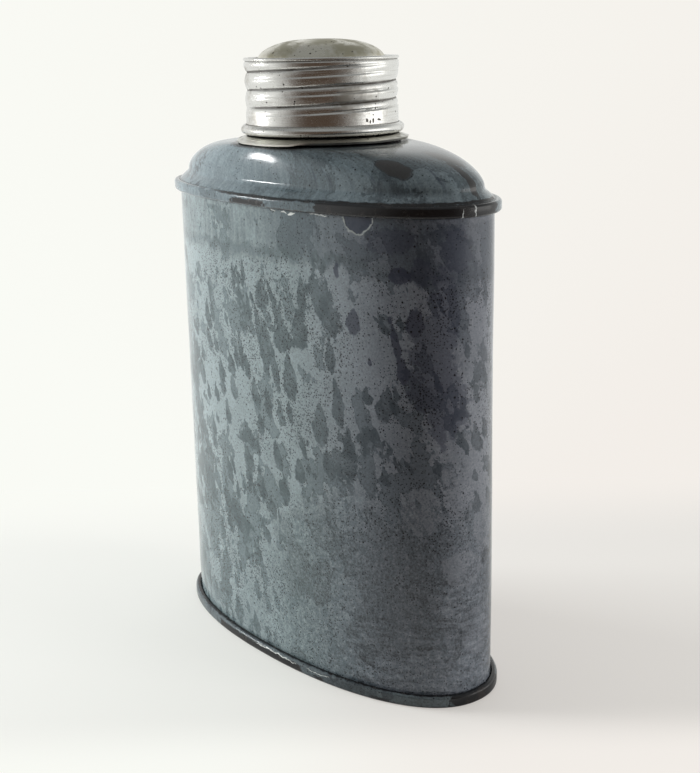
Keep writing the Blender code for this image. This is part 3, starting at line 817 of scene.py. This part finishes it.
shoulderFoot, neckTop = heightsOf("shoulder")
domed = dict(
    sheet=0.55, hookRadius=0.65, seamOut=1.3, seamTop=96.9, gap=0.3, hookEnd=(0.1, 0.02), footInset=1.9,
    creaseForm=[(0.34, -0.06), (0.2, -0.22), (0.06, 0.06)],  # out from the wall, and up from the seam's top
    flareRise=1.1, flareRadius=1.2, spreadPower=2.46, dropPower=1.6, landZ=105.9, landRadius=15.4,
    neckRadius=12.9, neckFillet=0.6, domeSteps=44, columns=320, rowStep=1.2,
    dents=dict(amount=0.45, size=22, seed=8.0, low=98, high=105.8, fade=3),
    # the under-flange ring darkens the shoulder just below the collar's flange edge: bare steel and painted
    # shadow of the flange
    front=(44, 62), dirtRadius=(18.6, 17.0), dirtHeight=(104.9, 105.6), dirtWander=3.0, lip=(0.5, 0.35),
    footUp=(4.0, 6.6, 0.9), combAcross=(63, 98, 4), combUp=(7.5, 14.5, 2.4), shadeUp=(11, 21),
    creaseWander=1.1, creaseFade=(34, 44, 0.4, 1.0),
    burns=[(87.9, 13.7, 3.2, 3.7, -10), (103.6, 17.0, 2.1, 4.4, 22), (102.2, 10.0, 1.1, 4.8, 4)],
    burnt=(0.022, 0.02, 0.019, 1),
    slivers=[(99.7, 2.2, 0.14, 1.5, 8), (97.4, 1.5, 0.1, 0.9, -6)], sliverColor=(0.34, 0.36, 0.36, 1),
    # where the crease's black band lies and how wide it is: worn enamel and painted shade in the crease
    crease=[
        (0, 4.3), (30, 3.9), (42, 3.2), (54, 3.2), (66, 3.4), (77, 4.1), (88, 4.3), (98, 4.5), (112, 4.5),
        (202, 4.3),
    ],
    creaseHalf=[(0, 0.3), (36, 0.35), (46, 0.95), (68, 0.95), (78, 0.5), (104, 0.45), (202, 0.3)],
    wornRim=[
        (45.4, 55.6, 0.9, 2.1), (69.6, 105.5, 0.4, 4.2), (56.4, 69.6, 0.3, 1), (140, 152, 0.4, 4.2),
        (176, 183, 0.4, 4.2),
    ],
    tones=dict(
        pale=(0.135, 0.172, 0.190, 1), grey=(0.088, 0.114, 0.127, 1), slate=(0.050, 0.066, 0.077, 1),
        patchSize=14.0),
)


def domeZones(place, surface):
    across, up = inMm(surface)
    toFront = remap(across, *domed["front"])
    foot = within(up, *domed["footUp"]) * remap(noise(surface, 260.0, 3.0), 0.35, 0.6, 0.35, 0.9)
    comb = remap(noise(scaled(surface, 1.0, 0.05, 1.0), 1300.0, 3.0, 0.6), 0.53, 0.66)
    comb = comb * within(across, *domed["combAcross"]) * within(up, *domed["combUp"])
    return {
        "Grained": 0.0, "Furred": 0.45, "Drop Share": 0.0, "Speck Share": 0.12,
        # paler towards the back and darker towards the front, more so up the dome: painted light and painted
        # shade
        "Pale Share": toFront * -0.5 + 0.9,
        "Shade": toFront * (remap(up, *domed["shadeUp"]) * 0.22 + 0.18),
        # pale band on the flare, fainter towards the front: pale enamel and a painted highlight
        "Pale Marks": foot * (toFront * -0.45 + 1.0),
        "Navy Marks": comb * 0.55,
    }


def shoulderRows(values):
    low, top, hook, flare = shoulderFoot, values["seamTop"], values["hookRadius"], values["flareRadius"]
    edge, inset, land = values["seamOut"] - hook, values["footInset"], values["landZ"]
    points = [(values["gap"], low)] + arcPoints((edge, low + hook), hook, -90, 0, 6)
    points += arcPoints((edge, top - hook), hook, 0, 68, 6)
    points.append((edge - values["hookEnd"][0], top - values["hookEnd"][1]))
    points += [(out, top + up) for out, up in values["creaseForm"]]
    slope = math.degrees(math.atan2(values["flareRise"], edge + inset))
    turn = (flare - inset, top + values["flareRise"] + flare)
    rows = ovalRows(points + arcPoints(turn, flare, 270 - slope, 180, 7))
    for step in range(1, values["domeSteps"] + 1):
        angle = math.pi / 2 * step / values["domeSteps"]
        spread = max(math.cos(angle), 0.0) ** (2 / values["spreadPower"])
        height = turn[1] + (land - turn[1]) * math.sin(angle) ** (2 / values["dropPower"])
        rows.append((-inset, height, 1 - spread, values["landRadius"]))
    neck, fillet = values["neckRadius"], values["neckFillet"]
    rows += roundRows(arcPoints((neck + fillet, land + fillet), fillet, 270, 180, 5) + [(neck, neckTop)])
    return closeRows(rows, values["rowStep"], bodyPlan["halfWidth"])


# the rim's marks: chipped enamel, a dark lip, the crease's band of worn enamel and painted shade, and the
# ring under the flange of bare steel and painted shadow
def rimWearAndShade(place, surface):
    across, up = inMm(surface)
    chips = stretchMask(across, up, noise(surface, 900.0, 3.0), domed["wornRim"])
    # black band along the crease: worn enamel and painted shade in the crease
    wander = (noise(surface, 420.0, 4.0, 0.6) - 0.5) * domed["creaseWander"] + up
    half = levelAlong(across, domed["creaseHalf"])
    crease = remap(abs(wander - levelAlong(across, domed["crease"])), half, half * 0.5)
    crease = crease * remap(across, *domed["creaseFade"])
    lip = remap(up, *domed["lip"])
    # dark ring just below the collar's flange edge: bare steel and painted shadow of the flange
    x, y, z = split(vectorMaths("SCALE", place, 1 / mm))
    stray = (noise(place, 420.0, 4.0, 0.6) - 0.5) * domed["dirtWander"]
    reach = stray + vectorMaths("LENGTH", joined(x, y, 0.0))
    darkened = remap(reach, *domed["dirtRadius"]) * remap(z, *domed["dirtHeight"])
    return largest(chips, crease, lip, darkened)


makePiece("flaskShoulder", "shoulder", "flask", shoulderRows(domed), bodyPlan, domed,
          enamelFinish("mottledShoulderEnamel", domed, domeZones, rimWearAndShade))

# base: recessed panel, standing ring and the hook round the wall's lower edge

panTop = heightsOf("base_pan")[1]
pan = dict(
    sheet=0.55, recess=1.9, ring=2.6, recessRadius=0.7, hookRadius=0.65, seamOut=1.3, gap=0.3, columns=320,
    rowStep=3.0, panelShares=(0.0, 0.15, 0.35, 0.55, 0.75, 0.9), beadRows=15, shadeAcross=(50, 80, 0.0, 0.3),
    wornBead=[
        (-1, 204, -2, 0.7), (-1, 204, 2.95, 5), (33, 62.5, 0, 2.2), (95.5, 108.5, 0, 3),
        (66, 68.5, 0.2, 1.5), (80, 84, 0.3, 1.3), (128, 141, 0, 3), (166, 172, 0, 2.2),
    ],
    # slivers along the bead's top edge: painted highlights
    slivers=[(54.0, 2.2, 7.0, 0.13, 0), (67.0, 2.25, 3.0, 0.08, 0)], sliverColor=(0.5, 0.52, 0.5, 1),
    tones=dict(
        pale=(0.092, 0.112, 0.120, 1), grey=(0.056, 0.070, 0.077, 1), slate=(0.030, 0.038, 0.045, 1),
        rust=(0.016, 0.013, 0.012, 1)),
)


def baseRows(values):
    turn, hook, recess = values["recessRadius"], values["hookRadius"], values["recess"]
    edge, inner = values["seamOut"] - hook, -values["ring"]
    rows = [(inner - turn, recess, 1 - share, 0.0) for share in values["panelShares"]]
    points = arcPoints((inner - turn, recess - turn), turn, 90, 0, 6)
    points += arcPoints((inner + turn, turn), turn, 180, 270, 6)
    points += arcPoints((edge, hook), hook, -90, 0, 6)
    points += arcPoints((edge, panTop - hook), hook, 0, 90, 6) + [(values["gap"], panTop)]
    return closeRows(rows + ovalRows(points), values["rowStep"], bodyPlan["halfWidth"])


baseProfile = baseRows(pan)
beadStart = lengthsAlong(baseProfile, bodyPlan["halfWidth"])[-pan["beadRows"]]

# the bead's marks are given from its own start
pan["slivers"] = [(across, beadStart + up, *size) for across, up, *size in pan["slivers"]]
pan["wornBead"] = [
    (start, end, beadStart + low, beadStart + high) for start, end, low, high in pan["wornBead"]]


def baseZones(place, surface):
    across, _ = inMm(surface)
    # the front of the base is darker: painted shade
    return {"Grained": 0.3, "Furred": 0.0, "Drop Share": 0.3, "Pale Share": 0.5, "Speck Share": 0.5,
            "Shade": remap(across, *pan["shadeAcross"])}


def beadWear(place, surface):
    return stretchMask(*inMm(surface), noise(surface, 800.0, 3.0), pan["wornBead"])


makePiece("flaskBase", "base_pan", "flask", baseProfile, bodyPlan, pan,
          enamelFinish("mottledBaseEnamel", pan, baseZones, beadWear))
print("enamelled body done")


# metal of the cap and the collar; soil gathers in the thread, in level bands and in pocks

def metalFinish(name, values):
    made, place, surface, sockets = newFinish(name)
    hollow = 0.0
    if "soil" in values:
        rolled = addNode("ShaderNodeAttribute", tree=place.tree, attribute_name="threadDepth")["Fac"] / mm
        hollow = remap(rolled, *values["soilDepth"], 0.0, values["soil"])
    for middle, halfWidth in values.get("soilBands", ()):
        hollow = largest(hollow, remap(abs(inMm(surface)[1] - middle), halfWidth, 0.0))
    if "pocks" in values:
        field = noise(surface, rubbing["pocks"], 2.0)
        hollow = largest(hollow, addSpots(surface, field, values["pocks"], *rubbing["pockShape"])[0])
    labels = ("bright", "tarnish", "grime", "scratches", "pits", "gloss")
    metal = useGroup(metalGroup, {
        "Vector": place, "Hollow": hollow, "Tarnish Share": values["tarnishShare"],
        **{label.title(): values[label] for label in labels}})
    feed(sockets, {"Base Color": metal["Color"], "Roughness": metal["Roughness"], "Metallic": metal["Metal"]})
    addBump(sockets, metal["Height"], *rubbing["bump"])
    return made


thread = dict(pitch=3.4, startTurn=200 / 360, runOut=0.2)


def threadStep(bottom, turns, depth, crispness, lineWidth, secondDepth=0.0, secondPhase=0.0, bearing=0.0):
    return rolledThread, {
        "Bottom": bottom * mm, "Pitch": thread["pitch"] * mm, "Start Turn": thread["startTurn"],
        "Run Out": thread["runOut"], "Turns": turns, "Depth": depth * mm, "Crispness": crispness,
        "Line Width": lineWidth, "Second Depth": secondDepth * mm, "Second Phase": secondPhase,
        "Second Bearing": math.radians(bearing)}


# collar: bent flange, thread ridge and turned-in mouth

collarFoot, mouthTop = heightsOf("neck_collar")
collar = dict(
    sheet=0.4, root=13.6, flange=3.5, flangeRise=1.0, bend=0.8, mouthLip=1.1, columns=200, rowStep=0.14,
    thread=dict(bottom=108.82, turns=52 / 36, depth=0.6, crispness=0.2, lineWidth=0.13),
    bendFrom=14.6, bendTo=17.1, drop=0.24, dropBearing=262, dropSpread=44, ripple=0.25, rippleSeed=5.0,
    bright=(0.70, 0.69, 0.64, 1), tarnish=(0.34, 0.32, 0.26, 1), grime=(0.05, 0.04, 0.03, 1),
    tarnishShare=0.5, scratches=0.6, pits=0.1, gloss=0.3,
)


def collarRows(values):
    root, bend, rise, flange = values["root"], values["bend"], values["flangeRise"], values["flange"]
    flangeTop = collarFoot + values["sheet"]
    slope = math.degrees(math.atan2(rise, flange))
    points = [(root + flange, flangeTop)]
    points += arcPoints((root + bend, flangeTop + rise + bend), bend, 270 - slope, 180, 6)
    points += arcPoints((root - bend, mouthTop - bend), bend, 0, 90, 6)
    points += [(root - values["mouthLip"], mouthTop)]
    return closeRows(roundRows(points), values["rowStep"], roundPlan["halfWidth"])


def flangeStep(values):
    return bentFlange, {
        "Inner": values["bendFrom"] * mm, "Outer": values["bendTo"] * mm, "Drop": values["drop"] * mm,
        "Drop Bearing": math.radians(values["dropBearing"]),
        "Drop Spread": math.radians(values["dropSpread"]), "Ripple": values["ripple"] * mm,
        "Seed": values["rippleSeed"]}


makePiece("neckCollar", "neck_collar", "flask", collarRows(collar), roundPlan, collar,
          metalFinish("tarnishedCollarMetal", collar), [threadStep(**collar["thread"]), flangeStep(collar)])

# cement that bonds the collar to the neck

cement = dict(
    inner=13.9, outer=15.6, edge=0.25, bottom=106.2, rise=0.486, round=0.1, columns=160, rowStep=0.2,
    rounding=(0.08, 0.06), dents=dict(amount=0.12, size=1.2, seed=2.0), color=(0.045, 0.034, 0.026, 1),
    pale=(0.11, 0.085, 0.06, 1), lumpScale=900.0, bump=(0.8, 0.3),
)


def cementFinish(values):
    made, place, _, sockets = newFinish("darkCement")
    lumps = noise(place, values["lumpScale"], 5.0, 0.65)
    color = blend(remap(lumps, 0.48, 0.7), values["color"], values["pale"])
    feed(sockets, {"Base Color": color, "Roughness": lumps * 0.3 + 0.6})
    addBump(sockets, lumps, *values["bump"])
    return made


def cementRows(values):
    inner, outer, bottom = values["inner"], values["outer"], values["bottom"]
    edge, soft = bottom + values["edge"], outer - values["round"]
    lower, upper = values["rounding"]
    points = [(inner, bottom), (soft, bottom), (outer, bottom + lower), (outer, edge - upper), (soft, edge),
              (inner, edge + values["rise"]), (inner, bottom)]
    return closeRows(roundRows(points), values["rowStep"], roundPlan["halfWidth"])


makePiece("collarCement", "collar_seal", "flask", cementRows(cement), roundPlan, cement,
          cementFinish(cement))

# cap band: beaded skirt, rolled thread, lip and the level ring that holds the crown

capFoot, capTop = heightsOf("cap_band")
band = dict(
    sheet=0.5, radius=15.1, beadWidth=1.1, beadHeight=1.9, beadInset=0.02, beadGap=0.06, skirt=1.1, roll=0.16,
    rollFrom=1.9, rollHeight=1.8, rollSteps=9, lipGroove=0.14, grooveGap=0.06, grooveBend=(0.12, 0.09),
    lipWidth=0.2, lipRadius=0.3, ring=2.2, columns=220, rowStep=0.12,
    thread=dict(
        turns=2.55, depth=-0.52, crispness=0.5, lineWidth=0.075, secondDepth=-0.3, secondPhase=0.1,
        bearing=40),
    dents=dict(amount=0.22, size=5, seed=11.0, low=capFoot + 2.2, high=capTop - 0.4, fade=1.5),
    grooveSpan=(120, 121.9), beadSoil=0.2, grooveSoil=0.16, soil=0.95, soilDepth=(0.3, 0.5),
    pocks=[
        (46.1, 3.9, 0.28, 0.36, 0), (46.9, 3.65, 0.2, 0.3, 0), (47.6, 3.85, 0.24, 0.42, 10),
        (49.1, 4, 0.34, 0.2, 0),
    ],
    bright=(0.74, 0.735, 0.71, 1), tarnish=(0.40, 0.375, 0.33, 1), grime=(0.04, 0.032, 0.025, 1),
    tarnishShare=0.5, scratches=0.9, pits=0.22, gloss=0.26,
)


def bandRows(values):
    radius, half, lip = values["radius"], values["beadHeight"] / 2, values["lipRadius"]
    points = [(radius + values["beadWidth"] * out, capFoot + half + half * up)
              for out, up in arcPoints((0.0, 0.0), 1.0, -80, 84, 18)]
    center = (radius + values["lipWidth"] - lip, capTop - lip)
    groove = center[1] - lip - values["grooveGap"]
    rollStart = groove - values["rollFrom"]
    points += [(radius - values["beadInset"], capFoot + 2 * half + values["beadGap"]), (radius, rollStart)]
    for step in range(1, values["rollSteps"]):
        share = step / values["rollSteps"]
        out = values["roll"] * math.sin(math.pi * share)
        points.append((radius + out, rollStart + values["rollHeight"] * share))
    bendOut, bendUp = values["grooveBend"]
    points += [(radius - values["lipGroove"], groove), (center[0] + bendOut, groove + bendUp)]
    points += arcPoints(center, lip, -35, 90, 8) + [(radius - values["ring"], capTop)]
    return closeRows(roundRows(points), values["rowStep"], roundPlan["halfWidth"])


bandProfile = bandRows(band)
bandLengths = lengthsAlong(bandProfile, roundPlan["halfWidth"])
beadTopRow = next(i for i, row in enumerate(bandProfile) if row[1] > capFoot + band["beadHeight"])
grooveLow, grooveHigh = band["grooveSpan"]
grooveRow = min((i for i, row in enumerate(bandProfile) if grooveLow < row[1] < grooveHigh),
                key=lambda i: bandProfile[i][3])
band["soilBands"] = [
    (bandLengths[beadTopRow], band["beadSoil"]), (bandLengths[grooveRow], band["grooveSoil"])]
threadFoot = capFoot + band["beadHeight"] + band["skirt"]
makePiece("capBand", "cap_band", "cap", bandProfile, roundPlan, band,
          metalFinish("rolledWhiteMetal", band), [threadStep(threadFoot, **band["thread"])])

# crown: dull domed disc held under the band's ring

crownTop = heightsOf("cap_crown")[1]
crown = dict(
    sheet=0.45, brim=14.3, foot=12.6, brimZ=121.32, topGap=0.03, fullness=2.5, columns=160, steps=30,
    rowStep=0.6,
    dents=dict(amount=0.3, size=8, seed=4.0, low=122.4, fade=1.5),
    pocks=[(60, 9.8, 0.5, 0.12, 20), (61, 9.4, 0.3, 0.1, 20)],
    bright=(0.70, 0.675, 0.59, 1), tarnish=(0.43, 0.40, 0.28, 1), grime=(0.035, 0.03, 0.022, 1),
    tarnishShare=0.75, scratches=0.7, pits=0.35, gloss=0.26,
)


def crownRows(values):
    brimZ, steps = values["brimZ"], values["steps"]
    rise = crownTop - values["topGap"] - brimZ
    points = [(values["brim"], brimZ)]
    for step in range(steps + 1):
        angle = math.pi / 2 * step / steps
        reach = max(math.cos(angle), 0.0) ** (2 / values["fullness"])
        points.append((values["foot"] * reach, brimZ + rise * math.sin(angle)))
    return closeRows(roundRows(points), values["rowStep"], roundPlan["halfWidth"])


makePiece("capCrown", "cap_crown", "cap", crownRows(crown), roundPlan, crown,
          metalFinish("dullCrownMetal", crown))

# cork liner inside the cap

linerFoot, linerTop = heightsOf("cork_liner")
liner = dict(
    radius=13.6, bevel=0.25, columns=120, rowStep=0.5, dents=dict(amount=0.1, size=1.5, seed=6.0),
    color=(0.42, 0.25, 0.13, 1), dark=(0.12, 0.06, 0.03, 1), pale=(0.55, 0.36, 0.2, 1), cellScale=700.0,
    ringScale=140.0, pores={"Per Metre": 450.0, "Radius": 0.3, "Share": 0.4}, bump=(0.5, 0.2),
)


def corkFinish(values):
    made, place, _, sockets = newFinish("oldCork")
    cells = addNode("ShaderNodeTexVoronoi", {"Vector": place, "Scale": values["cellScale"]})
    shade = addNode("ShaderNodeSeparateColor", {0: cells["Color"]})[0]
    pores = useGroup(speckGroup, {"Vector": place, **values["pores"]})["Mask"]
    ring = noise(place, values["ringScale"], 4.0)
    color = blend(shade, values["color"], values["pale"])
    color = blend(pores, color, values["dark"])
    color = blend(remap(ring, 0.5, 0.75, 0.0, 0.6), color, values["dark"])
    feed(sockets, {"Base Color": color, "Roughness": ring * 0.2 + 0.7})
    addBump(sockets, shade - pores, *values["bump"])
    return made


def linerRows(values):
    low, high, radius, bevel = linerFoot, linerTop, values["radius"], values["bevel"]
    points = [(0.0, low), (radius - bevel, low), (radius, low + bevel), (radius, high - bevel),
              (radius - bevel, high), (0.0, high)]
    return closeRows(roundRows(points), values["rowStep"], roundPlan["halfWidth"])


makePiece("corkLiner", "cork_liner", "lifting_liner", linerRows(liner), roundPlan, liner,
          corkFinish(liner))
print("cap, collar and liner done")

# floor, world, lamps and camera; sweep, front, wide, shadow and gleam are metres from the flask's middle

studio = dict(
    floorSize=8.0, floorColor=(0.70, 0.695, 0.675, 1), floorRough=0.9, leftBackdrop=(0.955, 0.965, 0.915, 1),
    rightBackdrop=(0.895, 0.855, 0.81, 1), glow=0.5, sweep=(-0.045, -0.095), front=(0.036, 0.056),
    frontGlow=0.45, wide=(0.13, 0.26), shadow=(0.04, 0.16), shadowShare=0.85, gleam=(0.08, 0.26),
    darkBearing=318, darkFacing=(0.2, 0.95), rightFacing=(-0.5, 0.6), ceilingHeight=(0.25, 0.75),
    bright=(0.95, 0.96, 0.94, 1), dim=(0.085, 0.058, 0.042, 1), ceiling=(0.32, 0.33, 0.33, 1), skyDiffuse=0.5,
    skyGloss=1.0, aim=(0, 0, 0.07),
)

lamps = dict(
    key=dict(bearing=213, lift=12, distance=0.7, size=(0.30, 0.24), power=8.2, color=(0.97, 1, 1)),
    window=dict(bearing=219, lift=5, distance=0.7, size=(0.11, 0.05), power=0.6, color=(1, 1, 1), gloss=True),
    top=dict(bearing=150, lift=72, distance=0.8, size=(0.7, 0.7), power=3.0, color=(1, 0.995, 0.98)),
    right=dict(bearing=26, lift=4, distance=0.7, size=(0.22, 0.3), power=3.5, color=(1, 0.97, 0.95)),
    strip=dict(
        bearing=43, lift=4, distance=0.7, size=(0.5, 0.36), power=0.58, color=(1, 0.98, 0.96), gloss=True),
)

view = dict(
    place=(205.468, -165.927, 126.2), heading=50.126, pitch=15.096, roll=1.139, focalPixels=1306.303,
    longSide=773, sensor=36.0, clip=(0.01, 50.0),
)


def direction(bearing, lift):
    turn, up = math.radians(bearing), math.radians(lift)
    return Vector((math.cos(turn) * math.cos(up), math.sin(turn) * math.cos(up), math.sin(up)))


def makeRoomGroup(values):
    tree, given, result = newEffect("roomTone", {
        "Direction": "Vector", "Bright": values["bright"], "Dim": values["dim"], "Ceiling": values["ceiling"],
    }, {"Color": "Color", "Dimness": "Float", "Rightness": "Float"})
    flat = vectorMaths("NORMALIZE", scaled(given["Direction"], 1.0, 1.0, 0.0))
    ways = [tuple(direction(values["darkBearing"] + turn, 0)) for turn in (0, 90)]
    facing, rightward = (vectorMaths("DOT_PRODUCT", flat, way) for way in ways)
    dimness = remap(facing, *values["darkFacing"])
    color = blend(dimness, given["Bright"], given["Dim"])
    color = blend(remap(split(given["Direction"])[2], *values["ceilingHeight"]), color, given["Ceiling"])
    feed(result, {"Color": color, "Dimness": dimness, "Rightness": remap(rightward, *values["rightFacing"])})
    return tree


roomGroup = makeRoomGroup(studio)


def raySorts(tree):
    rays = addNode("ShaderNodeLightPath", tree=tree)
    return rays["Is Camera Ray"], largest(rays["Is Glossy Ray"], rays["Is Transmission Ray"])


def makeFloor(values):
    half = values["floorSize"] / 2
    mesh = bpy.data.meshes.new("floor")
    corners = [(-half, -half, 0), (half, -half, 0), (half, half, 0), (-half, half, 0)]
    mesh.from_pydata(corners, [], [(0, 1, 2, 3)])
    floor = bpy.data.objects.new("floor", mesh)
    bpy.context.scene.collection.objects.link(floor)
    made, place, _, sockets = newFinish("paleFloor")
    far = vectorMaths("LENGTH", place)
    room = useGroup(roomGroup, {"Direction": vectorMaths("NORMALIZE", place)})
    seen, shiny = raySorts(place.tree)
    shade = room["Dimness"] * remap(far, *values["shadow"], 0.0, values["shadowShare"]) * (1.0 - seen)
    color = blend(shade, values["floorColor"], values["dim"])
    feed(sockets, {"Base Color": color, "Roughness": values["floorRough"]})

    # what the camera and mirror-like metal see of it glows, so that it runs into the backdrop
    backdrop = blend(room["Rightness"], values["leftBackdrop"], values["rightBackdrop"])
    away = Vector(view["place"]).xy.normalized()
    toward = vectorMaths("DOT_PRODUCT", place, (away.x, away.y, 0.0))
    sweep = remap(toward, *values["sweep"], values["glow"], 1.0)
    sweep = sweep + remap(toward, *values["front"], 0.0, values["frontGlow"])
    sweep = largest(sweep, remap(far, *values["wide"]))
    share = largest(seen * sweep, shiny * remap(far, *values["gleam"]))
    glow = addNode("ShaderNodeEmission", {"Color": blend(seen, room["Color"], backdrop), "Strength": 1.0})[0]
    nodes = place.tree.nodes
    mixed = addNode("ShaderNodeMixShader", {0: share, 1: Outputs(nodes["Principled BSDF"])[0], 2: glow})[0]
    feed(nodes["Material Output"].inputs, {"Surface": mixed})
    mesh.materials.append(made)


def makeWorld(values):
    world = bpy.data.worlds.new("studio")
    bpy.context.scene.world = world
    world.use_nodes = True
    tree = world.node_tree
    room = useGroup(roomGroup, {"Direction": addNode("ShaderNodeTexCoord", tree=tree)["Generated"]})
    seen, shiny = raySorts(tree)
    strength = shiny * (values["skyGloss"] - values["skyDiffuse"]) + values["skyDiffuse"]
    light = addNode("ShaderNodeBackground", {"Color": room["Color"], "Strength": strength})[0]
    backdrop = blend(room["Rightness"], values["leftBackdrop"], values["rightBackdrop"])
    plain = addNode("ShaderNodeBackground", {"Color": backdrop, "Strength": 1.0})[0]
    mixed = addNode("ShaderNodeMixShader", {0: seen, 1: light, 2: plain})[0]
    feed(tree.nodes["World Output"].inputs, {"Surface": mixed})


def makeLamp(name, values):
    lamp = bpy.data.lights.new(name, "AREA")
    lamp.shape = "RECTANGLE"
    lamp.size, lamp.size_y = values["size"]
    lamp.energy, lamp.color = values["power"], values["color"]
    holder = bpy.data.objects.new(name, lamp)
    bpy.context.scene.collection.objects.link(holder)
    way = direction(values["bearing"], values["lift"])
    holder.location = Vector(studio["aim"]) + way * values["distance"]
    holder.rotation_mode = "QUATERNION"
    holder.rotation_quaternion = way.to_track_quat("Z", "Y")
    holder.visible_glossy = values.get("gloss", False)
    holder.visible_camera = False


def makeCamera(values):
    camera = bpy.data.cameras.new("photoCamera")
    camera.sensor_width = values["sensor"]
    camera.lens = values["focalPixels"] * values["sensor"] / values["longSide"]
    camera.clip_start, camera.clip_end = values["clip"]
    holder = bpy.data.objects.new("photoCamera", camera)
    bpy.context.scene.collection.objects.link(holder)
    turn = Matrix.Rotation(math.radians(values["heading"]), 4, "Z")
    tip = Matrix.Rotation(math.radians(90 - values["pitch"]), 4, "X")
    roll = Matrix.Rotation(math.radians(-values["roll"]), 4, "Z")
    holder.matrix_world = Matrix.Translation(Vector(values["place"]) * mm) @ turn @ tip @ roll
    bpy.context.scene.camera = holder


makeFloor(studio)
makeWorld(studio)
for lampName, lampValues in lamps.items():
    makeLamp(lampName + "Lamp", lampValues)
makeCamera(view)
bpy.context.scene.view_settings.view_transform = "Standard"
print("studio ready")
